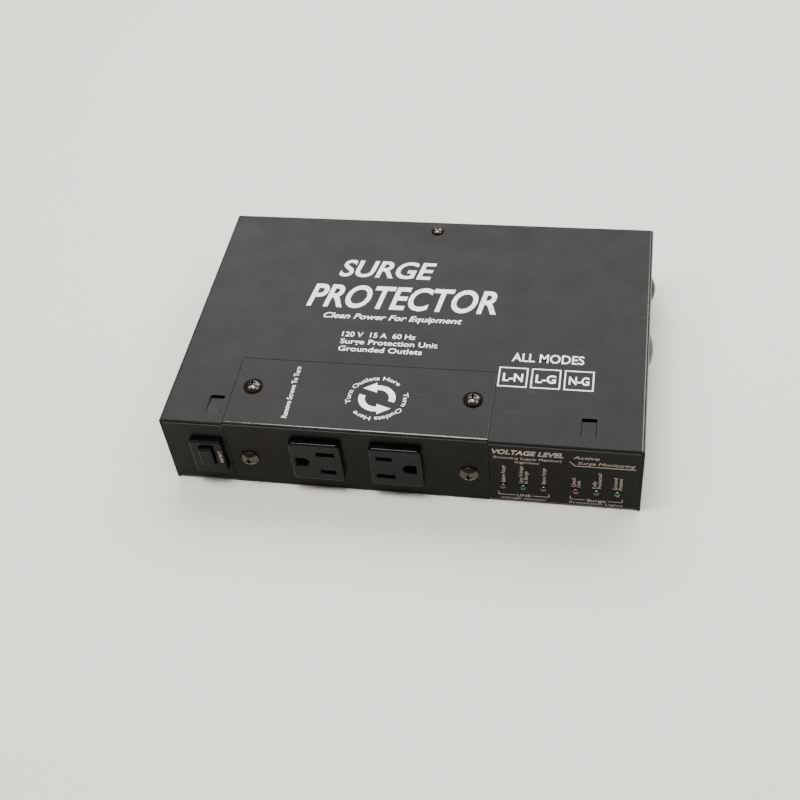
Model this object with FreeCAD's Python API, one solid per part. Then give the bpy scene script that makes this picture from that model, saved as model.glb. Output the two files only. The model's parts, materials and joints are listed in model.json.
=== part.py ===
import FreeCAD, Part
import math
import os

from FreeCAD import Vector

# Compact two-outlet surge protector in a folded steel case.
# Millimetres. The origin is the middle of the base's underside: +X right, +Y back, +Z up.
# The outlets, the reset breaker and the lights face -Y; the power inlet is in the rear wall.

# Case
case_width = 228.6
case_depth = 152.4
case_height = 43.7
sheet = 1.2
bend = 1.8  # outer radius of every fold
fit_gap = 0.1  # between sheets that slide together
front_flange = 20.0
rear_flange = 14.0
side_flange_height = 10.0
left, right = -case_width / 2, case_width / 2
front, rear = -case_depth / 2, case_depth / 2
top = case_height
base_hole_radius = 2.2
base_hole_spacing = (210.0, 130.0)

# Outlet plate: one bent sheet with two equal legs, so it also fits turned over
plate_left, plate_right = -82.6, 43.5
plate_leg = 43.1
plate_seam = 0.2
plate_seam_right = 0.4
plate_screw_inset = 9.4
plate_screw_drop = 24.5  # from the fold, on both legs
plate_bottom = top - plate_leg
plate_back = front + plate_leg
plate_middle = (plate_left + plate_right) / 2
bracket_width = 18.0
bracket_lap = 2.4

# Hook tabs lanced from the cover
tab_middles = (-88.9, 88.7)
tab_width = 6.5
tab_front, tab_back = front + 6.0, front + 17.3
tab_end_gap = 1.3  # between a tab's free end and the rear of its opening
tab_drop = 0.9  # of the free end below the lid
lance_gap = 0.3

# Outlets, drawn face up with the blades to one side of the middle
outlet_spread = 38.8
outlet_height = 22.5
outlet_face = (25.2, 26.0)
outlet_neck = (23.8, 24.4)
outlet_stands_out = 3.2
outlet_depth = 26.0
neck_depth = 7.0
blade_spacing = 12.7
blade_offset = 5.2
ground_offset = -6.7
slot_width = 2.0
neutral_slot, line_slot = 8.8, 7.3
ground_hole = (6.4, 5.4)
outlet_tab_end = 33.0

# Reset breaker
breaker_x, breaker_z = -93.4, 20.2
bezel = (16.4, 22.8)
bezel_stands_out = 2.7
breaker_body = (13.8, 18.8)
breaker_depth = 30.0
breaker_wall = 1.5
button = (6.8, 11.6)
button_z = 22.0
button_stands_out = 2.0
button_gap = 0.4
button_foot = 7.6  # depth of the button's foot behind the panel's face
spring_seat = 13.4
arm_pivot = (front + 19.0, 14.6)  # y and z; the arm swings about X
arm_pin_radius = 0.9
arm_thick = 0.8
arm_contact, arm_contact_height = (1.4, 0.9), 9.4  # radius and thickness, and height above the pivot
contact_gap = 0.4  # between the arm's contact and the fixed one, with the breaker on
terminal_offset = 5.0  # of each terminal above or below the breaker's middle
push_on_width, push_on_thick = 6.3, 0.8

# Indicator lights
light_x = (50.2, 59.6, 69.1, 84.1, 93.7, 103.2)
light_names = ("low", "normal", "high", "check", "protected", "ground")
light_z = 12.2
light_radius = 1.6
light_length = 8.0
light_stands_out = 1.7
light_board_front = front - light_stands_out + light_length
light_board_thick = 1.6
light_board_x, light_board_z = (46.6, 109.0), (5.0, 24.0)
light_collar = 1.95
lead_spread = 1.27  # of a light's two leads, each side of its middle
angle_x, angle_width, angle_height, angle_foot = (72.6, 80.6), 6.0, 10.0, 9.0
header_depth, header_height = 6.0, 6.0
ribbon_x, ribbon_size = 78.0, (12.7, 0.9)
ribbon_start_z, ribbon_end_y = 19.0, -17.0

# Main circuit board
board_x, board_y = (-50.0, 98.0), (-24.0, 58.0)
board_z = 8.0
board_thick = 1.6
board_top = board_z + board_thick
standoff_inset = 6.0
board_corners = [(x, y) for x in (board_x[0] + standoff_inset, board_x[1] - standoff_inset)
                 for y in (board_y[0] + standoff_inset, board_y[1] - standoff_inset)]
wire_tab_height = 8.0

# Power inlet
inlet_x, inlet_z = -85.0, 22.0
inlet_flange = (50.0, 22.6, 2.2)
inlet_body_size = (27.4, 19.8, 19.0)
inlet_cavity = (24.2, 16.2, 15.5)
inlet_screw_spread = 40.0
inlet_tab_end = 27.0
pin_spread = 7.0

# Relay
relay_corner = (58.0, 38.0)
relay_size = (29.0, 12.6, 25.5)
relay_base_height = 3.0
relay_wall = 0.9
relay_knuckle = 7.5  # from the coil's middle to the armature's hinge line

# Choke
choke_middle = (-28.0, 34.0)
choke_outer, choke_inner, choke_height = 17.0, 9.5, 12.0
choke_wire = 0.8
choke_gap = choke_wire + 0.1  # from the core's skin to the middle of the wire
choke_lift = choke_gap + choke_wire + 0.02

# Transformer
core_rise = (board_top + 1, board_top + 13)
window_width = 5.0
coil_height = 17.0

# Earth lugs, stacked on their stud
lug_headings = (90, 215, 315)
lug_reach = 12.0
lug_thick = 0.9
lug_barrel = (1.9, 2.6)  # radius, and height of its middle above the lug's underside

cover_screw_y = rear - 6.9
ground_stud = (-67.0, -6.0)
wire_radius = 1.5
plug_places = ((44.8, 30.0, 7.15), (0.3, 30.0, 9.5))  # y, z and radius of each blanking plug
plug_rise = 2.4


def block(x_range, y_range, z_range):
    sizes = [high - low for low, high in (x_range, y_range, z_range)]
    return Part.makeBox(*sizes, Vector(x_range[0], y_range[0], z_range[0]))


def centred(width, height, z_range, x=0.0, y=0.0):
    return block((x - width / 2, x + width / 2), (y - height / 2, y + height / 2), z_range)


def rod(start, axis, radius, length):
    return Part.makeCylinder(radius, length, Vector(*start), Vector(*axis))


def upright(x, y, z_range, radius):
    return rod((x, y, z_range[0]), (0, 0, 1), radius, z_range[1] - z_range[0])


def joined(*solids):
    return solids[0].fuse(list(solids[1:])).removeSplitter()


def along(axis, test=lambda middle: True):
    # picks straight edges that run along one axis and whose middle passes the test
    def wanted(edge):
        if edge.Curve.TypeId != "Part::GeomLine":
            return False
        direction = edge.tangentAt(edge.FirstParameter)
        return abs(getattr(direction, axis)) > 0.999 and test(edge.CenterOfMass)
    return wanted


def rounds(test):
    # picks circular edges whose centre passes the test
    return lambda edge: edge.Curve.TypeId == "Part::GeomCircle" and test(edge.Curve.Center)


def soften(solid, radius, wanted):
    return solid.makeFillet(radius, [edge for edge in solid.Edges if wanted(edge)])


def facing(solid, heading, at):
    # turns a piece drawn with its face up towards the front, right or rear, and puts it in place
    placed = solid.copy()
    if heading != "up":
        placed.rotate(Vector(), Vector(1, 0, 0), 90)
        placed.rotate(Vector(), Vector(0, 0, 1), {"front": 0, "right": 90, "rear": 180}[heading])
    placed.translate(Vector(*at))
    return placed


def cross_recess(reach, depth, at):
    # a tapered cross, cut from a cone
    fin = reach * 0.46
    z_range = (at - depth, at + 1)
    cross = joined(centred(reach * 2, fin, z_range), centred(fin, reach * 2, z_range))
    cone = Part.makeCone(reach * 0.35, reach * 1.45, depth + 1, Vector(0, 0, at - depth))
    return cross.common(cone)


def domed_screw(head_radius, head_height, shank_radius, length):
    # a shallow dome on a thin straight rim, with a small deep recess
    rise = head_height * 0.8
    dome_radius = (head_radius ** 2 + rise ** 2) / (2 * rise)
    dome = Part.makeSphere(dome_radius, Vector(0, 0, head_height - dome_radius))
    head = dome.common(upright(0, 0, (0, head_height), head_radius))
    head = head.cut(cross_recess(head_radius * 0.4, head_height * 0.66, head_height))
    return joined(head, upright(0, 0, (-length, 0), shank_radius))


def nut(across, height, bore):
    corners = [Vector(across / math.sqrt(3) * math.cos(math.radians(60 * i)),
                      across / math.sqrt(3) * math.sin(math.radians(60 * i)), 0) for i in range(7)]
    prism = Part.Face(Part.makePolygon(corners)).extrude(Vector(0, 0, height))
    return prism.cut(upright(0, 0, (-1, height + 1), bore))


def route(points):
    # straight runs joined by tangent arcs, each as large as its two runs allow
    points = [Vector(*point) for point in points]
    edges, start = [], points[0]
    for before, corner, after in zip(points, points[1:], points[2:]):
        inward, outward = (before - corner), (after - corner)
        setback = 0.45 * min(inward.Length, outward.Length)
        inward.normalize()
        outward.normalize()
        bisector = inward + outward
        half_turn = (math.pi - inward.getAngle(outward)) / 2
        radius = setback / math.tan(half_turn)
        first, last = corner + inward * setback, corner + outward * setback
        bisector.normalize()
        middle = corner + bisector * (radius / math.cos(half_turn) - radius)
        edges.append(Part.LineSegment(start, first).toShape())
        edges.append(Part.Arc(first, middle, last).toShape())
        start = last
    edges.append(Part.LineSegment(start, points[-1]).toShape())
    return Part.Wire(edges)


def wire(*points, radius=wire_radius):
    path = route(points)
    heading = Vector(*points[1]) - Vector(*points[0])
    ring = Part.Wire(Part.makeCircle(radius, Vector(*points[0]), heading))
    return path.makePipeShell([ring], True, True)


# Case

def base_chassis():
    xs = (left + sheet + fit_gap, right - sheet - fit_gap)
    tube = soften(block(xs, (front, rear), (0, top - sheet)), bend, along("x"))
    hollow = block((left, right), (front + sheet, rear - sheet), (sheet, top - 2 * sheet))
    tray = tube.cut(soften(hollow, bend - sheet, along("x")))
    under_cover = soften(block(xs, (front, rear), (0, top - sheet)), bend, along("y", over))
    tray = tray.common(under_cover)
    between_flanges = (front + front_flange, rear - rear_flange)
    tray = tray.cut(block((left, right), between_flanges, (top - 3 * sheet, top)))
    for inner, outer in ((xs[0], xs[0] + sheet), (xs[1] - sheet, xs[1])):
        tray = joined(tray, block((inner, outer), (front + 10, rear - 10), (0, side_flange_height)))
    window = (plate_left - plate_seam, plate_right + plate_seam_right)
    lap = (plate_left - bracket_lap - fit_gap, plate_right + bracket_lap + plate_seam_right)
    cutters = [
        block(window, (front - 1, front + sheet + plate_seam), (-1, top)),
        block(lap, (front + sheet, front + front_flange + 1), (top - 3 * sheet, top)),
        wall_opening(breaker_body, 0.15, breaker_x, front, breaker_z),
        wall_opening(inlet_body_size, 0.3, inlet_x, rear, inlet_z),
        upright(0, cover_screw_y, (top - 3 * sheet, top), 3.0),
    ]
    for x in light_x:
        cutters.append(rod((x, front - 1, light_z), (0, 1, 0), light_radius + 0.1, 3))
    for x, _, z in inlet_screw_places():
        cutters.append(rod((x, rear - 3, z), (0, 1, 0), 1.7, 4))
    for x in (-base_hole_spacing[0] / 2, base_hole_spacing[0] / 2):
        for y in (-base_hole_spacing[1] / 2, base_hole_spacing[1] / 2):
            cutters.append(upright(x, y, (-1, 3), base_hole_radius))
    for x in tab_middles:
        cutters.append(centred(tab_width + 2.4, tab_back - tab_front + 4, (top - 3 * sheet, top),
                               x, (tab_front + tab_back) / 2 + 1))
    return [joined(tray.cut(cutters), *light_board_angles())]


def wall_opening(size, clearance, x, y, z):
    # cutter for a rectangular opening in the front or rear wall
    half_height = size[1] / 2 + clearance
    return centred(size[0] + 2 * clearance, 4 * sheet, (z - half_height, z + half_height), x, y)


def light_board_angles():
    # small tabs standing on the base that hold the light board upright
    back = light_board_front + light_board_thick
    angles = []
    for x in angle_x:
        sides = (x - angle_width / 2, x + angle_width / 2)
        angles.append(joined(block(sides, (back, back + 1), (sheet / 2, angle_height)),
                             block(sides, (back, back + angle_foot), (sheet / 2, sheet + 1))))
    return angles


def over(middle):
    return middle.z > top / 2


def top_cover():
    shell = soften(block((left, right), (front, rear), (0, top)), bend, along("y", over))
    hollow = block((left + sheet, right - sheet), (front - 1, rear + 1), (-1, top - sheet))
    cover = shell.cut(soften(hollow, bend - sheet, along("y", over)))
    window = (plate_left - plate_seam, plate_right + plate_seam_right)
    cutters = [block(window, (front - 1, plate_back + plate_seam), (top - 5, top + 1)),
               upright(0, cover_screw_y, (top - 5, top + 1), 2.0)]
    for y, z, radius in plug_places:
        cutters.append(rod((right - 5, y, z), (1, 0, 0), radius - 1.2, 6))
    for x in tab_middles:
        cutters.append(centred(tab_width + 2 * lance_gap, tab_back - tab_front, (top - 5, top + 1),
                               x, (tab_front + tab_back) / 2))
    cover = cover.cut(cutters)
    for x in tab_middles:
        cover = joined(cover, hook_tab(x))
    return [cover]


def hook_tab(x):
    # a strip that leaves the sheet at its front end, dips gently and points back
    reach = (tab_back - tab_end_gap) - tab_front
    outline = []
    for height in (top, top - sheet):
        start = Vector(x - tab_width / 2, tab_front - 0.01, height)
        middle = Vector(x - tab_width / 2, tab_front + reach * 0.5, height - tab_drop * 0.42)
        end = Vector(x - tab_width / 2, tab_front + reach, height - tab_drop)
        outline.append((start, middle, end))
    upper, lower = outline
    edges = [Part.Arc(*upper).toShape(), Part.LineSegment(upper[2], lower[2]).toShape(),
             Part.Arc(*reversed(lower)).toShape(), Part.LineSegment(lower[0], upper[0]).toShape()]
    return Part.Face(Part.Wire(edges)).extrude(Vector(tab_width, 0, 0))


def cover_screw():
    return [facing(domed_screw(3.4, 2.1, 1.7, 8.0), "up", (0, cover_screw_y, top))]


def blanking_plugs():
    plugs = []
    for y, z, radius in plug_places:
        cap_radius = (radius ** 2 + plug_rise ** 2) / (2 * plug_rise)
        dome = Part.makeSphere(cap_radius, Vector(0, 0, plug_rise - cap_radius))
        dome = dome.common(upright(0, 0, (0, plug_rise + 1), radius))
        barbs = upright(0, 0, (-sheet - 2.2, -sheet), radius - 1.0)
        stem = upright(0, 0, (-sheet - 3.5, 0), radius - 1.3)
        plug = joined(dome, stem).cut(upright(0, 0, (-sheet - 4, -0.3), radius - 2.6))
        rim = barbs.cut(upright(0, 0, (-sheet - 4, 0), radius - 1.3))
        plugs.append(facing(joined(plug, rim), "right", (right, y, z)))
    return plugs


# Outlet plate

def plate_screw_places():
    for x in (plate_left + plate_screw_inset, plate_right - plate_screw_inset):
        yield "up", (x, front + plate_screw_drop, top)
        yield "front", (x, front, top - plate_screw_drop)


def bent_strip(x_range, offset, low, back):
    # a fold whose outer faces lie the given depth inside the case's front and top
    corner = lambda middle: middle.z > top - offset - 0.1 and middle.y < front + offset + 0.1
    outer = soften(block(x_range, (front + offset, back), (low, top - offset)), bend, along("x", corner))
    hollow = block((left, right), (front + offset + sheet, back + 1), (low - 1, top - offset - sheet))
    nook = lambda middle: middle.z > low and middle.y < back
    return outer.cut(soften(hollow, bend - sheet, along("x", nook)))


def outlet_plate():
    plate = bent_strip((plate_left, plate_right), 0, plate_bottom, plate_back)
    cutters = [facing(upright(0, 0, (-4, 1), 2.6), heading, at) for heading, at in plate_screw_places()]
    for x, turn in outlet_places():
        cutters.append(place_outlet(centred(outlet_neck[0] + 0.2, outlet_neck[1] + 0.2, (-4, 1)), x, turn))
    return [plate.cut(cutters)]


def plate_brackets():
    brackets = []
    inner = bracket_width - bracket_lap
    left_range = (plate_left - bracket_lap, plate_left + inner)
    right_range = (plate_right - inner, plate_right + bracket_lap)
    for x_range in (left_range, right_range):
        strip = bent_strip(x_range, sheet, bend + fit_gap, plate_back + 4)
        holes = [facing(upright(0, 0, (-8, 1), 3.2), heading, at) for heading, at in plate_screw_places()]
        brackets.append(strip.cut(holes))
    return brackets


def plate_screws():
    screw = domed_screw(4.7, 2.9, 2.38, 9.0)
    return [facing(screw, heading, at) for heading, at in plate_screw_places()]


def press_nuts():
    # pressed into the brackets from behind, and a smaller one into the rear flange for the cover's screw
    plate_nut, cover_nut = press_nut(3.15, 5.2, 2.44), press_nut(2.95, 4.0, 1.75)
    nuts = [facing(plate_nut, heading, at) for heading, at in plate_screw_places()]
    return nuts + [facing(cover_nut, "up", (0, cover_screw_y, top))]


def press_nut(spigot_radius, body_radius, bore):
    spigot = upright(0, 0, (-2 * sheet, -sheet), spigot_radius)
    body = upright(0, 0, (-2 * sheet - 3.2, -2 * sheet), body_radius)
    return joined(spigot, body).cut(upright(0, 0, (-10, 1), bore))


# Outlets

def outlet_places():
    return ((plate_middle - outlet_spread / 2, 0), (plate_middle + outlet_spread / 2, 180))


def place_outlet(solid, x, turn):
    placed = solid.copy()
    placed.rotate(Vector(), Vector(0, 0, 1), turn)
    return facing(placed, "front", (x, front, outlet_height))


def ground_outline(grow, z_range):
    # square end away from the blades, round end towards them
    length, width = ground_hole[0] + 2 * grow, ground_hole[1] + 2 * grow
    flat_end = ground_offset - length / 2
    straight = length - width / 2
    body = block((flat_end, flat_end + straight), (-width / 2, width / 2), z_range)
    return joined(body, upright(flat_end + straight, 0, z_range, width / 2))


def outlet_face_part():
    plate = soften(centred(*outlet_face, (0, outlet_stands_out)), 2.2, along("z"))
    plate = soften(plate, 1.1, lambda edge: edge.CenterOfMass.z > outlet_stands_out - 0.01)
    neck = soften(centred(*outlet_neck, (-neck_depth, 0.5)), 1.2, along("z"))
    face = joined(plate, neck)
    beyond = outlet_stands_out + 1
    through, lead_in = (-neck_depth - 1, beyond), (outlet_stands_out - 0.4, beyond)
    cutters = [ground_outline(0, through), ground_outline(0.35, lead_in)]
    for side, length in ((1, neutral_slot), (-1, line_slot)):
        y = side * blade_spacing / 2
        cutters.append(centred(length, slot_width, through, blade_offset, y))
        cutters.append(centred(length + 0.8, slot_width + 0.8, lead_in, blade_offset, y))
        # latch window in each long side of the face
        cutters.append(block((-4.2, 4.2), sorted((side * 12.1, side * 14)), (-1, 1.9)))
    face = face.cut(cutters)
    for side in (1, -1):
        # spring latch behind the plate, wedge shaped
        y = side * outlet_neck[1] / 2
        wedge = [Vector(-3.4, y, -sheet - 0.3), Vector(-3.4, y + side * 1.3, -sheet - 0.3),
                 Vector(-3.4, y, -neck_depth + 0.5), Vector(-3.4, y, -sheet - 0.3)]
        face = joined(face, Part.Face(Part.makePolygon(wedge)).extrude(Vector(6.8, 0, 0)))
    return face


def outlet_base_part():
    base = centred(outlet_neck[0] - 0.4, outlet_neck[1] - 0.4, (-outlet_depth, -neck_depth))
    base = soften(base, 1.2, along("z"))
    cutters = []
    for x, y in contact_places():
        cutters.append(centred(8.6, 3.6, (-outlet_depth + 2.5, -neck_depth + 1), x, y))
        cutters.append(centred(6.8, 1.2, (-outlet_depth - 1, -neck_depth), x, y))
    return base.cut(cutters)


def contact_places():
    return ((blade_offset, -blade_spacing / 2), (blade_offset, blade_spacing / 2), (ground_offset, 0))


def outlet_contact(x, y):
    # two spring leaves on a floor, with a push-on tab behind
    floor = -outlet_depth + 3.2
    leaves = [centred(8.0, 0.5, (floor, -neck_depth - 0.6), x, y + side * 1.0) for side in (1, -1)]
    return joined(centred(8.0, 2.5, (floor - 0.6, floor), x, y), *leaves,
                  centred(6.3, 0.8, (-outlet_tab_end, floor - 0.6), x, y))


def outlet_nodes(side, x, turn):
    contacts = [place_outlet(outlet_contact(*place), x, turn) for place in contact_places()]
    return {f"outlet_{side}_face": [place_outlet(outlet_face_part(), x, turn)],
            f"outlet_{side}_base": [place_outlet(outlet_base_part(), x, turn)],
            f"outlet_{side}_contacts": contacts}


# Reset breaker

def breaker_housing():
    frame = soften(centred(*bezel, (0, bezel_stands_out)), 1.6, along("z"))
    frame = soften(frame, 0.9, lambda edge: edge.CenterOfMass.z > bezel_stands_out - 0.01)
    body = centred(*breaker_body, (-breaker_depth, 0.5))
    room = centred(breaker_body[0] - 2 * breaker_wall, breaker_body[1] - 2 * breaker_wall,
                   (-breaker_depth + breaker_wall, -breaker_wall))
    mouth = centred(button[0] + 2 * button_gap, button[1] + 2 * button_gap, (-5, bezel_stands_out + 1),
                    0, button_z - breaker_z)
    tabs = [centred(6.4, 0.9, (-breaker_depth - 1, -breaker_depth + 3), 0, side * 5) for side in (1, -1)]
    housing = joined(frame, body).cut([room, mouth] + tabs)
    pivot_up = arm_pivot[1] - breaker_z
    wall = breaker_body[0] / 2 - breaker_wall
    for side in (-1, 1):
        # ears that carry the arm's pin
        ear = block(sorted((side * 3.4, side * (wall + 0.3))), (pivot_up - 2.6, pivot_up + 1.8), (-21, -17))
        housing = joined(housing, ear)
        housing = housing.cut(rod((side * 4.6 - 1.2, pivot_up, -19), (1, 0, 0), arm_pin_radius + 0.07, 2.4))
    # rib that the reset spring stands on, open in the middle
    rib = block((-wall - 0.3, wall + 0.3), (-2.0, 5.6), (-spring_seat - 1.2, -spring_seat))
    housing = joined(housing, rib.cut(upright(0, button_z - breaker_z, (-20, 0), 1.4)))
    return [facing(housing, "front", (breaker_x, front, breaker_z))]


def reset_spring():
    # coil between the button's foot and the rib in the housing, as short runs and arcs
    wire_size, coil_radius, turns, per_turn = 0.3, 2.3, 4, 8
    low, high = -spring_seat + wire_size + 0.12, -button_foot - wire_size - 0.12
    steps = turns * per_turn
    points = []
    for i in range(steps + 1):
        angle = math.tau * i / per_turn
        rise = low + (high - low) * i / steps
        points.append((coil_radius * math.cos(angle), coil_radius * math.sin(angle), rise))
    return [facing(wire(*points, radius=wire_size), "front", (breaker_x, front, button_z))]


def breaker_button():
    # square cap on a wider foot, which stops it at the end of its travel
    rise = bezel_stands_out + button_stands_out
    cap = soften(centred(*button, (-button_foot, rise)), 0.8, along("z"))
    cap = soften(cap, 0.7, lambda edge: edge.CenterOfMass.z > rise - 0.01)
    foot = centred(button[0] + 2.4, button[1] + 1.0, (-button_foot, 2 - button_foot), 0, -0.7)
    return [facing(joined(cap, foot), "front", (breaker_x, front, button_z))]


def breaker_arm():
    # a copper strip on a pivot, with a contact button at its tip
    y, z = arm_pivot
    half_width, length, pin_length = 2.0, 11.0, 9.2
    strip = block((breaker_x - half_width, breaker_x + half_width), (y - arm_thick / 2, y + arm_thick / 2),
                  (z, z + length))
    pin = rod((breaker_x - pin_length / 2, y, z), (1, 0, 0), arm_pin_radius, pin_length)
    contact = rod((breaker_x, y + arm_thick / 2, z + arm_contact_height), (0, 1, 0), *arm_contact)
    return [joined(strip, pin, contact)]


def breaker_terminals():
    # tabs that leave the housing at the back; the upper one carries the fixed contact
    y, z = arm_pivot
    tab_end = front + breaker_depth + 8
    fixed_y = y + arm_thick / 2 + arm_contact[1] + contact_gap
    sides = (breaker_x - push_on_width / 2, breaker_x + push_on_width / 2)
    near, far = terminal_offset - push_on_thick / 2, terminal_offset + push_on_thick / 2
    upper = block(sides, (fixed_y + 0.9, tab_end), (breaker_z + near, breaker_z + far))
    upright_leg = block(sides, (fixed_y + 0.9, fixed_y + 1.7), (z + 7.4, breaker_z + far))
    anvil = rod((breaker_x, fixed_y, z + arm_contact_height), (0, 1, 0), arm_contact[0], 1.5)
    lower = block(sides, (y + 3.0, tab_end), (breaker_z - far, breaker_z - near))
    return [joined(upper, upright_leg, anvil), lower]


def breaker_bimetal():
    # snap strip that bows when it overheats, fixed to the lower terminal
    y, _ = arm_pivot
    start, finish = y + 3.4, front + breaker_depth - breaker_wall - 0.6
    x, z = breaker_x - 2.4, breaker_z - terminal_offset + push_on_thick / 2
    width, thick, bow = 4.8, 0.5, 1.1
    crown = Vector(x, (start + finish) / 2, z + bow)
    lower = Part.Arc(Vector(x, start, z), crown, Vector(x, finish, z)).toShape()
    upper = lower.copy()
    upper.translate(Vector(0, 0, thick))
    ends = [Part.LineSegment(a.Point, b.Point).toShape() for a, b in zip(lower.Vertexes, upper.Vertexes)]
    strip = Part.Face(Part.Wire(Part.sortEdges([lower, upper] + ends)[0]))
    return [strip.extrude(Vector(width, 0, 0))]


# Indicator lights

def light(x):
    tip = front - light_stands_out
    barrel = rod((x, tip + light_radius, light_z), (0, 1, 0), light_radius, light_length - light_radius)
    collar = rod((x, light_board_front - 1.0, light_z), (0, 1, 0), light_collar, 1.0)
    dome = Part.makeSphere(light_radius, Vector(x, tip + light_radius, light_z))
    return [joined(barrel, dome, collar)]


def light_leads():
    thick, reach = 0.5, 3.4
    leads = []
    for x in light_x:
        for side in (-lead_spread, lead_spread):
            leads.append(block((x + side - thick / 2, x + side + thick / 2),
                               (light_board_front, light_board_front + reach),
                               (light_z - thick / 2, light_z + thick / 2)))
    return leads


def light_board():
    panel = block(light_board_x, (light_board_front, light_board_front + light_board_thick), light_board_z)
    half, through = 0.35, (light_board_front - 1, light_board_front + 3)
    holes = [block((x - half, x + half), through, (light_z - half, light_z + half))
             for middle in light_x for x in (middle - lead_spread, middle + lead_spread)]
    return [panel.cut(holes)]


def ribbon_cable():
    # flat cable from the light board's header down to the main board's header
    start_y, end_z = light_board_front + light_board_thick + header_depth, board_top + header_height + 1.4
    profile = ((start_y, ribbon_start_z), (-52.0, ribbon_start_z), (-42.0, 26.0), (-26.0, 28.0),
               (ribbon_end_y, 25.0), (ribbon_end_y, end_z))
    path = route([(ribbon_x, y, z) for y, z in profile])
    half_width, half_thick = ribbon_size[0] / 2, ribbon_size[1] / 2
    corners = [Vector(ribbon_x + across * half_width, start_y, ribbon_start_z + up * half_thick)
               for across, up in ((-1, -1), (1, -1), (1, 1), (-1, 1), (-1, -1))]
    return [path.makePipeShell([Part.makePolygon(corners)], True, True)]


def ribbon_headers():
    back = light_board_front + light_board_thick
    lip, half = 0.6, header_height / 2
    across = (ribbon_x - ribbon_size[0] / 2 - lip, ribbon_x + ribbon_size[0] / 2 + lip)
    upper = block(across, (back, back + header_depth), (ribbon_start_z - half, ribbon_start_z + half))
    lower_rise = (board_top, board_top + header_height + 1.4)
    return [upper, block(across, (ribbon_end_y - half, ribbon_end_y + half), lower_rise)]


# Main board

def main_board():
    panel = block(board_x, board_y, (board_z, board_top))
    return [panel.cut([upright(x, y, (board_z - 1, board_top + 1), 1.7) for x, y in board_corners])]


def board_standoffs():
    pillars = []
    for x, y in board_corners:
        pillar = nut(5.5, board_z - sheet, 1.35)
        pillar.translate(Vector(x, y, sheet))
        pillars.append(pillar)
    return pillars


def board_screws():
    return [facing(domed_screw(2.8, 2.0, 1.3, 6.0), "up", (x, y, board_top)) for x, y in board_corners]


def insulating_sheet():
    film = block((board_x[0] + 1, board_x[1] - 1), (board_y[0] + 1, board_y[1] - 1), (sheet, sheet + 0.4))
    return [film.cut([upright(x, y, (0, 3), 4.0) for x, y in board_corners])]


def surge_absorbers():
    # coated discs on edge in a row, on two legs each
    discs = []
    first, pitch, count, middle = 26.0, 8.0, 4, 46.0
    radius, thick, lift, leg_spread, leg_radius = 10.0, 4.8, 2.6, 3.75, 0.4
    for x in [first + i * pitch for i in range(count)]:
        disc = rod((x - thick / 2, middle, board_top + lift + radius), (1, 0, 0), radius, thick)
        disc = soften(disc, thick * 0.36, rounds(lambda centre: True))
        legs = [upright(x, middle + side * leg_spread, (board_top, board_top + lift + 4), leg_radius)
                for side in (-1, 1)]
        discs.append(joined(disc, *legs))
    return discs


def thermal_fuses():
    # short cans lying in front of the discs, each on two bent leads
    cans = []
    start, length, radius, lift, lead_radius, lead = 24.0, 9.0, 2.0, 2.6, 0.4, 2.0
    for x in (30.0, 46.0):
        body = rod((x, start, board_top + lift), (0, 1, 0), radius, length)
        through = rod((x, start - lead, board_top + lift), (0, 1, 0), lead_radius, length + 2 * lead)
        ends = (start - lead, start + length + lead)
        legs = [upright(x, y, (board_top, board_top + lift), lead_radius) for y in ends]
        knees = [Part.makeSphere(lead_radius, Vector(x, y, board_top + lift)) for y in ends]
        cans.append(joined(body, through, *legs, *knees))
    return cans


def line_capacitor():
    height, edge_radius = 21.0, 0.8
    body = block((-8.0, 18.0), (40.5, 51.5), (board_top, board_top + height))
    return [soften(body, edge_radius, lambda edge: True)]


def filter_capacitors():
    # upright cans with a crimped groove near the foot
    cans = []
    y, radius, height, crimp_height = -8.0, 5.0, 16.0, 2.4
    for x in (52.0, 65.0):
        can = upright(x, y, (board_top, board_top + height), radius)
        can = soften(can, 0.6, rounds(lambda centre: True))
        groove = Part.makeTorus(radius + 0.2, 0.5, Vector(x, y, board_top + crimp_height))
        cans.append(can.cut(groove))
    return cans


def choke_core():
    x, y = choke_middle
    ring = upright(x, y, (board_top + choke_lift, board_top + choke_lift + choke_height), choke_outer)
    ring = ring.cut(upright(x, y, (0, 40), choke_inner))
    return [soften(ring, 1.0, rounds(lambda centre: True))]


def choke_windings():
    # separate turns of lacquered wire round the ring's section, in two banks
    low = board_top + choke_lift - choke_gap
    high = board_top + choke_lift + choke_height + choke_gap
    near, far = choke_inner - choke_gap, choke_outer + choke_gap
    corner, turns_per_bank, turn_pitch = 2.0, 9, 13
    loop = rounded_loop((near, low), (far, high), corner)
    start = loop.Edges[0].Vertexes[0].Point
    heading = loop.Edges[0].tangentAt(loop.Edges[0].FirstParameter)
    ring = Part.Wire(Part.makeCircle(choke_wire, start, heading))
    turn = loop.makePipeShell([ring], True, True)
    turns = []
    for bank in (0, 180):
        for step in range(turns_per_bank):
            placed = turn.copy()
            placed.rotate(Vector(), Vector(0, 0, 1), bank + (step - turns_per_bank // 2) * turn_pitch)
            placed.translate(Vector(*choke_middle, 0))
            turns.append(placed)
    return turns


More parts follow.
